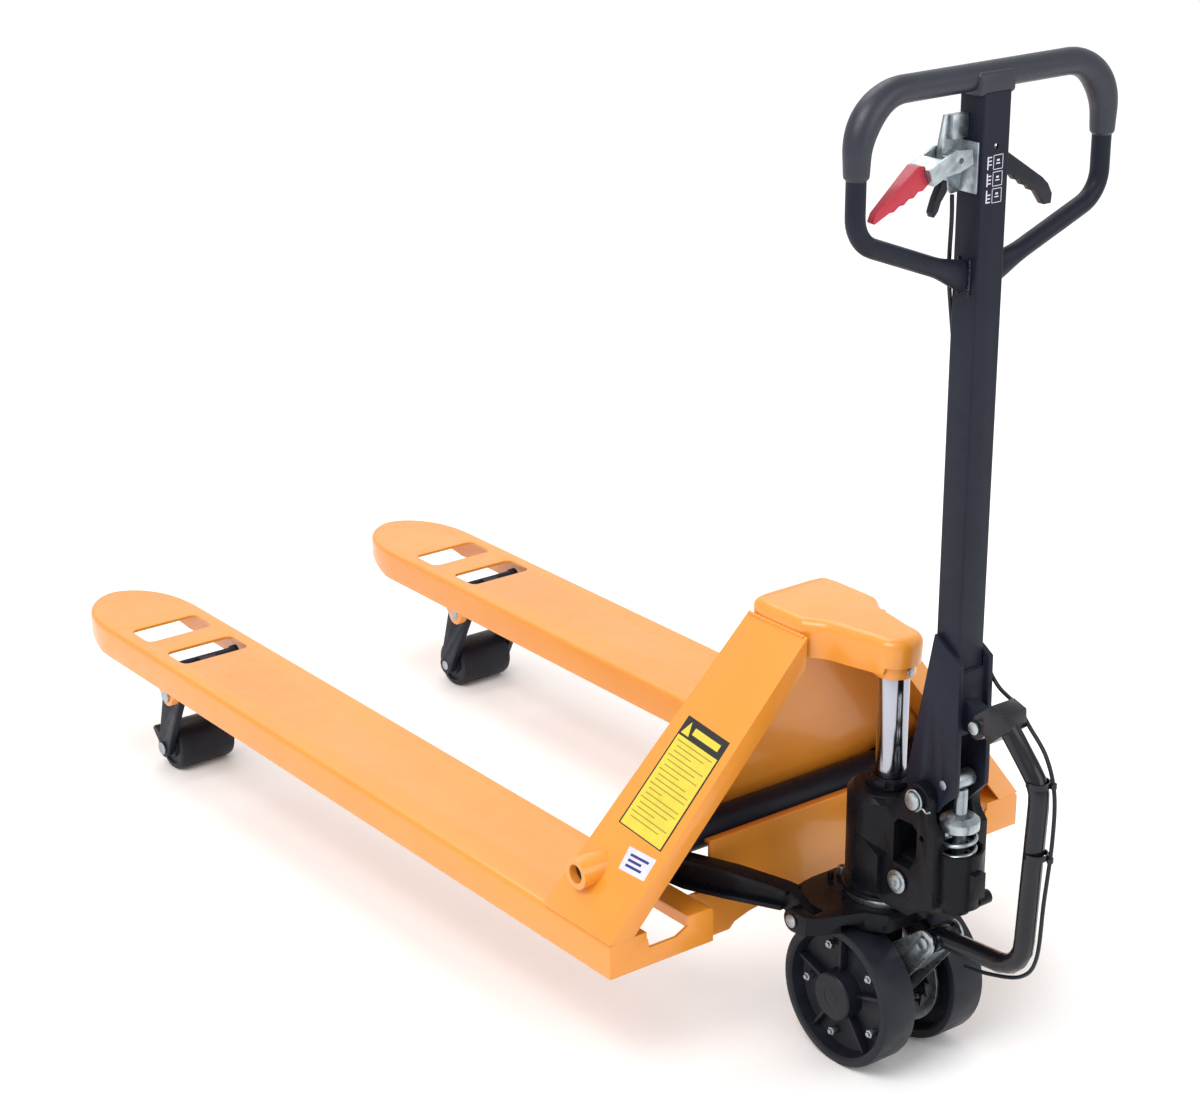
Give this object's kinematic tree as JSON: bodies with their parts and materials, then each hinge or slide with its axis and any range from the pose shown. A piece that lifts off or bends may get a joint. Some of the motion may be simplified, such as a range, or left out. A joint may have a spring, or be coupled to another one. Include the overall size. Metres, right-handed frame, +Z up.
{
  "type": "pallet jack",
  "caption": "Hydraulic hand pallet truck: raised forks on folding roller arms, steered pump unit, tilting handle and a cable-and-link start drive on its wheels.",
  "frame": {"origin": "on the floor below the middle of the truck's outline", "axes": "+Z up, +Y from the operator towards the fork tips, +X to the operator's right"},
  "size_m": [0.685, 1.793, 1.2423],
  "materials": {
    "amber_paint": "satin powder coat",
    "black_paint": "satin powder coat",
    "black_casting": "painted as cast",
    "zinc_plate": "zinc plated",
    "chrome": "polished",
    "black_plastic": "moulded",
    "foam_grip": "fine grained sleeve",
    "red_vinyl": "dipped"
  },
  "bodies": {
    "steer_base": {"base_plate": "black_casting", "link_pin_left": "zinc_plate", "link_pin_right": "zinc_plate"},
    "chassis": {"fork_left": "amber_paint", "fork_right": "amber_paint", "side_member_left": "amber_paint", "side_member_right": "amber_paint", "hood": "amber_paint", "inner_wall": "amber_paint", "cross_plate": "amber_paint", "piston": "chrome", "piston_set_screw": "zinc_plate", "rocker_pin_left": "zinc_plate", "rocker_pin_right": "zinc_plate", "arm_pivot_pin_left": "zinc_plate", "arm_pivot_pin_right": "zinc_plate"},
    "rocker": {"cross_tube": "black_paint", "link_arm_left": "black_casting", "link_arm_right": "black_casting"},
    "pump": {"pump_body": "black_casting", "gland_nut": "black_casting", "thrust_bearing": "zinc_plate", "side_screw": "zinc_plate", "handle_pivot_pin": "zinc_plate", "steer_yoke": "black_casting", "steer_axle": "zinc_plate", "plunger_spring": "zinc_plate"},
    "plunger": {"plunger": "zinc_plate"},
    "steer_wheel_left": {"steer_wheel_left": "black_plastic"},
    "steer_wheel_right": {"steer_wheel_right": "black_plastic", "ratchet_ring": "zinc_plate"},
    "ratchet_arm": {"ratchet_arm": "zinc_plate", "start_link_lower_pin": "zinc_plate"},
    "pawl": {"pawl": "zinc_plate"},
    "handle": {"handle_bracket": "black_paint", "plunger_roller_pin": "zinc_plate", "handle_stem": "black_paint", "handle_loop": "black_paint", "grip_cover": "foam_grip", "lever_bracket": "zinc_plate", "start_cable_upper": "black_plastic", "start_link_upper_pin": "zinc_plate"},
    "plunger_roller": {"plunger_roller": "zinc_plate"},
    "start_link": {"start_link": "black_paint", "start_cable_lower": "black_plastic"},
    "control_lever": {"control_lever": "black_plastic"},
    "release_rod": {"release_rod": "zinc_plate"},
    "start_lever": {"start_lever": "zinc_plate", "start_lever_grip": "red_vinyl"},
    "lock_trigger": {"lock_trigger": "black_plastic"},
    "push_rod_left": {"push_rod_left": "black_paint"},
    "load_arm_left": {"load_arm_left": "black_paint", "load_axle_left": "zinc_plate"},
    "load_roller_left": {"load_roller_left": "black_plastic"},
    "push_rod_right": {"push_rod_right": "black_paint"},
    "load_arm_right": {"load_arm_right": "black_paint", "load_axle_right": "zinc_plate"},
    "load_roller_right": {"load_roller_right": "black_plastic"}
  },
  "joints": [
    {"name": "lift", "type": "slide", "parent": "steer_base", "child": "chassis", "axis": [0, 0, -1], "range_m": [0, 0.115]},
    {"name": "rocker_pivot", "type": "hinge", "parent": "chassis", "child": "rocker", "pos_m": [0, -0.4305, 0.258], "axis": [-1, 0, 0], "range_deg": [0, 37.08]},
    {"name": "push_rod_slide_left", "type": "slide", "parent": "chassis", "child": "push_rod_left", "axis": [0, -1, 0], "range_m": [0, 0.0417]},
    {"name": "load_arm_pivot_left", "type": "hinge", "parent": "chassis", "child": "load_arm_left", "pos_m": [-0.2625, 0.5855, 0.149], "axis": [1, 0, 0], "range_deg": [0, 65.4]},
    {"name": "load_roller_spin_left", "type": "hinge", "parent": "load_arm_left", "child": "load_roller_left", "pos_m": [-0.2625, 0.6405, 0.0374], "axis": [1, 0, 0], "continuous": true},
    {"name": "push_rod_slide_right", "type": "slide", "parent": "chassis", "child": "push_rod_right", "axis": [0, -1, 0], "range_m": [0, 0.0417]},
    {"name": "load_arm_pivot_right", "type": "hinge", "parent": "chassis", "child": "load_arm_right", "pos_m": [0.2625, 0.5855, 0.149], "axis": [1, 0, 0], "range_deg": [0, 65.4]},
    {"name": "load_roller_spin_right", "type": "hinge", "parent": "load_arm_right", "child": "load_roller_right", "pos_m": [0.2625, 0.6405, 0.0374], "axis": [1, 0, 0], "continuous": true},
    {"name": "steering", "type": "hinge", "parent": "steer_base", "child": "pump", "pos_m": [0, -0.6335, 0.22], "axis": [0, 0, 1], "range_deg": [-60, 60]},
    {"name": "wheel_spin_left", "type": "hinge", "parent": "pump", "child": "steer_wheel_left", "pos_m": [-0.057, -0.6335, 0.094], "axis": [1, 0, 0], "continuous": true},
    {"name": "wheel_spin_right", "type": "hinge", "parent": "pump", "child": "steer_wheel_right", "pos_m": [0.057, -0.6335, 0.094], "axis": [1, 0, 0], "continuous": true},
    {"name": "handle_tilt", "type": "hinge", "parent": "pump", "child": "handle", "pos_m": [0, -0.7245, 0.386], "axis": [1, 0, 0], "range_deg": [0, 75], "stiffness_Nm_per_rad": 30, "springref_deg": -11.46},
    {"name": "plunger_slide", "type": "slide", "parent": "pump", "child": "plunger", "axis": [0, 0, -1], "range_m": [0, 0.0425], "deforming": ["plunger_spring"]},
    {"name": "ratchet_arm_pivot", "type": "hinge", "parent": "pump", "child": "ratchet_arm", "pos_m": [0, -0.6335, 0.094], "axis": [1, 0, 0], "range_deg": [0, 63]},
    {"name": "pawl_pivot", "type": "hinge", "parent": "ratchet_arm", "child": "pawl", "pos_m": [0.03, -0.6451, 0.0621], "axis": [1, 0, 0], "range_deg": [0, 8.2]},
    {"name": "plunger_roller_spin", "type": "hinge", "parent": "handle", "child": "plunger_roller", "pos_m": [0, -0.7505, 0.4095], "axis": [1, 0, 0], "continuous": true},
    {"name": "start_link_pivot", "type": "hinge", "parent": "handle", "child": "start_link", "pos_m": [0, -0.7885, 0.494], "axis": [-1, 0, 0], "range_deg": [0, 71]},
    {"name": "control_lever_pivot", "type": "hinge", "parent": "handle", "child": "control_lever", "pos_m": [0, -0.7395, 1.131], "axis": [0, -1, 0], "range_deg": [-8, 12]},
    {"name": "release_rod_slide", "type": "slide", "parent": "handle", "child": "release_rod", "axis": [0, 0, -1], "range_m": [-0.0057, 0.0085], "stiffness_N_per_m": 100, "springref_m": -0.0235},
    {"name": "start_lever_pivot", "type": "hinge", "parent": "handle", "child": "start_lever", "pos_m": [-0.05, -0.7405, 1.146], "axis": [0, 1, 0], "range_deg": [0, 8], "stiffness_Nm_per_rad": 2, "springref_deg": -22.92},
    {"name": "lock_trigger_pivot", "type": "hinge", "parent": "handle", "child": "lock_trigger", "pos_m": [-0.061, -0.7395, 1.119], "axis": [0, 1, 0], "range_deg": [0, 12], "stiffness_Nm_per_rad": 0.2, "springref_deg": -17.19}
  ],
  "couplings": [
    {"joint": "rocker_pivot", "follows": "lift", "rad_per_m": 5.6275},
    {"joint": "push_rod_slide_left", "follows": "lift", "ratio": 0.3626},
    {"joint": "load_arm_pivot_left", "follows": "lift", "rad_per_m": 9.9256},
    {"joint": "push_rod_slide_right", "follows": "lift", "ratio": 0.3626},
    {"joint": "load_arm_pivot_right", "follows": "lift", "rad_per_m": 9.9256},
    {"joint": "plunger_slide", "follows": "handle_tilt", "m_per_rad": 0.03246},
    {"joint": "ratchet_arm_pivot", "follows": "handle_tilt", "ratio": 0.8361},
    {"joint": "start_link_pivot", "follows": "handle_tilt", "ratio": 0.9417},
    {"joint": "pawl_pivot", "follows": "start_lever_pivot", "ratio": 1},
    {"joint": "release_rod_slide", "follows": "control_lever_pivot", "m_per_rad": 0.04}
  ]
}
